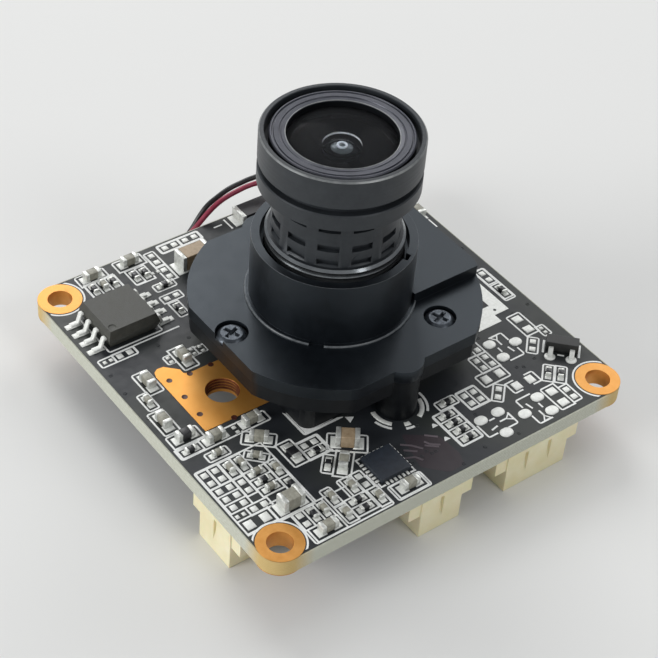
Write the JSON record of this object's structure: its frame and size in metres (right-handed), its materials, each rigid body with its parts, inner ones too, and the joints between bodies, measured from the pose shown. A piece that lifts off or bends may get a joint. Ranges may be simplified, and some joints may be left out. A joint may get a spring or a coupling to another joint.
{
  "type": "board camera module",
  "caption": "Square board camera module with a screw-in lens in a moulded mount, a two-position infrared filter switch under it, and wafer sockets on the underside.",
  "frame": {"origin": "centre of the four corner holes and of the lens axis, on the board's upper face", "axes": "+Z along the lens axis, out of the front glass; +X and +Y along the board's edges, the two front wafer sockets on the -Y edge, the side socket on the -X edge"},
  "size_m": [0.038, 0.0394, 0.0282],
  "materials": {
    "fr4": "raw edge of glass-epoxy laminate",
    "mask": "black solder mask, satin gloss",
    "gold_plate": "gold-coloured plating over copper",
    "bare_copper": "bare copper with a warm orange tint",
    "tin": "tinned copper, slightly matt",
    "legend": "white printed legend ink",
    "resistor_film": "black glaze over ceramic",
    "capacitor_grey": "grey-brown ceramic",
    "capacitor_tan": "tan ceramic",
    "ferrite": "black ferrite",
    "chip_epoxy": "moulded black epoxy",
    "socket_ivory": "ivory nylon",
    "contact": "tinned brass",
    "housing_black": "black moulded plastic, fine sheen",
    "cover_black": "black moulded plastic, smooth sheen",
    "screw_steel": "black-zinc steel",
    "screw_zinc": "zinc-plated steel",
    "sensor_body": "dark sensor package",
    "sensor_window": "thin cover glass",
    "foam": "black foam",
    "yoke_steel": "soft iron sheet",
    "winding": "enamelled copper wire",
    "magnet": "bonded magnet",
    "lever_plastic": "white acetal",
    "ir_glass": "blue-green infrared filter glass",
    "clear_glass": "clear filter glass",
    "lead_red": "red wire insulation",
    "lead_black": "black wire insulation",
    "lens_black": "black anodised aluminium",
    "ring_black": "black anodised aluminium, turned",
    "lens_inner_black": "matt black anodised",
    "front_glass": "coated front glass, violet-grey reflection",
    "lens_glass": "coated lens glass"
  },
  "bodies": {
    "board": {"circuit_board": "fr4", "solder_mask": "mask", "corner_eyelets": "gold_plate", "copper_patch": "bare_copper", "tinned_patch": "tin", "silkscreen": "legend", "solder_pads": "tin", "resistors": "resistor_film", "capacitors": "capacitor_grey", "bulk_capacitors": "capacitor_tan", "ferrite_beads": "ferrite", "chip_terminals": "tin", "flash_chip": "chip_epoxy", "flash_chip_leads": "tin", "driver_chip": "chip_epoxy", "transistor": "chip_epoxy", "transistor_leads": "tin", "processor_chip": "chip_epoxy", "crystal_can": "yoke_steel", "power_inductors": "ferrite", "front_socket_small": "socket_ivory", "front_socket_large": "socket_ivory", "side_socket": "socket_ivory", "filter_socket": "socket_ivory", "socket_pins": "contact", "filter_plug": "socket_ivory", "holder_screws": "screw_zinc", "image_sensor": "sensor_body", "sensor_glass": "sensor_window", "sensor_gasket": "foam", "filter_housing": "housing_black", "lens_mount": "cover_black", "cover_screws": "screw_steel", "motor_yoke": "yoke_steel", "motor_coil": "winding", "rotor_shaft": "yoke_steel", "filter_lead_red": "lead_red", "filter_lead_black": "lead_black"},
    "lens": {"lens_barrel": "lens_black", "retaining_ring": "ring_black", "front_element": "front_glass", "front_baffle": "lens_inner_black", "second_element": "lens_glass", "iris_plate": "lens_inner_black", "third_element": "lens_glass", "rear_spacer": "lens_inner_black", "rear_element": "lens_glass", "rear_ring": "lens_inner_black"},
    "filter": {"filter_frame": "housing_black", "infrared_filter": "ir_glass", "clear_filter": "clear_glass"},
    "rotor": {"rotor_magnet": "magnet", "rotor_lever": "lever_plastic"}
  },
  "joints": [
    {"name": "lens_focus", "type": "hinge", "parent": "board", "child": "lens", "pos_m": [0, 0, 0.012], "axis": [0, 0, 1], "range_deg": [-360, 360]},
    {"name": "filter_slide", "type": "slide", "parent": "board", "child": "filter", "axis": [0, 1, 0], "range_m": [-0.0062, 0]},
    {"name": "lever_swing", "type": "hinge", "parent": "board", "child": "rotor", "pos_m": [0.0099, 0, 0.004], "axis": [0, 0, 1], "range_deg": [0, 73.2]}
  ],
  "couplings": [
    {"joint": "lever_swing", "follows": "filter_slide", "rad_per_m": -206}
  ]
}
